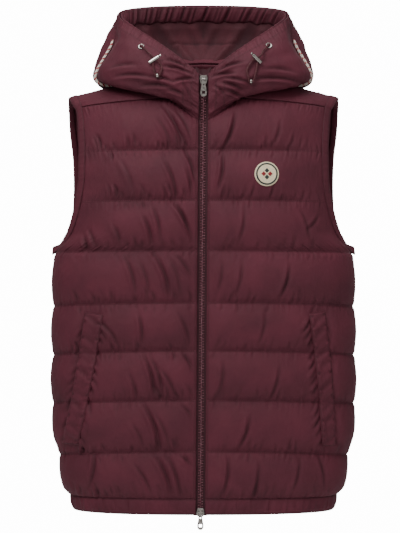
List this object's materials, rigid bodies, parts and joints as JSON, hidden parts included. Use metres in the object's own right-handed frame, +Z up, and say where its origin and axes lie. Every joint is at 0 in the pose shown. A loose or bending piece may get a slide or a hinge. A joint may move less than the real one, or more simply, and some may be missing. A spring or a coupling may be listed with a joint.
{
  "type": "hooded puffer vest",
  "caption": "Sleeveless padded vest with a fixed hood, quilted in level channels, with a two-way front zip and slanted pocket welts, shown filled out as when worn.",
  "frame": {"origin": "middle of the neck, level with the high points of the shoulders, where the wearer's shoulders and neck hold the vest", "axes": "+Z up, the front with its zip faces -Y, +X towards the wearer's left"},
  "size_m": [0.4883, 0.2931, 0.8345],
  "materials": {
    "nylon": "light nylon with a soft sheen",
    "lining": "matte nylon lining",
    "piping": "matte woven piping",
    "felt": "matte felt",
    "zip_tape": "woven tape",
    "zip_teeth": "moulded teeth",
    "metal": "polished nickel",
    "cord": "braided cord"
  },
  "bodies": {
    "vest": {"front_panel_left": "nylon", "front_panel_right": "nylon", "back_panel": "nylon", "front_yoke_left": "nylon", "front_yoke_right": "nylon", "hem_band_left": "nylon", "hem_band_right": "nylon", "hem_band_back": "nylon", "armhole_binding_left": "nylon", "armhole_binding_right": "nylon", "hood_side_left": "nylon", "hood_side_right": "nylon", "hood_centre": "nylon", "hood_casing": "nylon", "hood_lining": "lining", "hood_piping_left": "piping", "hood_piping_right": "piping", "pocket_welt_left": "nylon", "pocket_welt_right": "nylon", "chest_patch": "felt", "zip_tape_left": "zip_tape", "zip_tape_right": "zip_tape", "zip_chain": "zip_teeth", "zip_slider_upper": "metal", "zip_slider_lower": "metal", "eyelet_left": "metal", "eyelet_right": "metal", "cord_lock_left": "metal", "cord_lock_right": "metal", "drawcord_left": "cord", "drawcord_right": "cord", "drawcord_loop_left": "cord", "drawcord_loop_right": "cord", "cord_end_left": "metal", "cord_end_right": "metal"},
    "upper_pull": {"zip_pull_upper": "metal"},
    "lower_pull": {"zip_pull_lower": "metal"}
  },
  "joints": [
    {"name": "upper_pull_swing", "type": "hinge", "parent": "vest", "child": "upper_pull", "pos_m": [-0.00004, -0.0984, -0.0265], "axis": [-1, 0, 0], "range_deg": [0, 150]},
    {"name": "lower_pull_swing", "type": "hinge", "parent": "vest", "child": "lower_pull", "pos_m": [-0.005, -0.10727, -0.6975], "axis": [-1, 0, 0], "range_deg": [0, 150]}
  ]
}
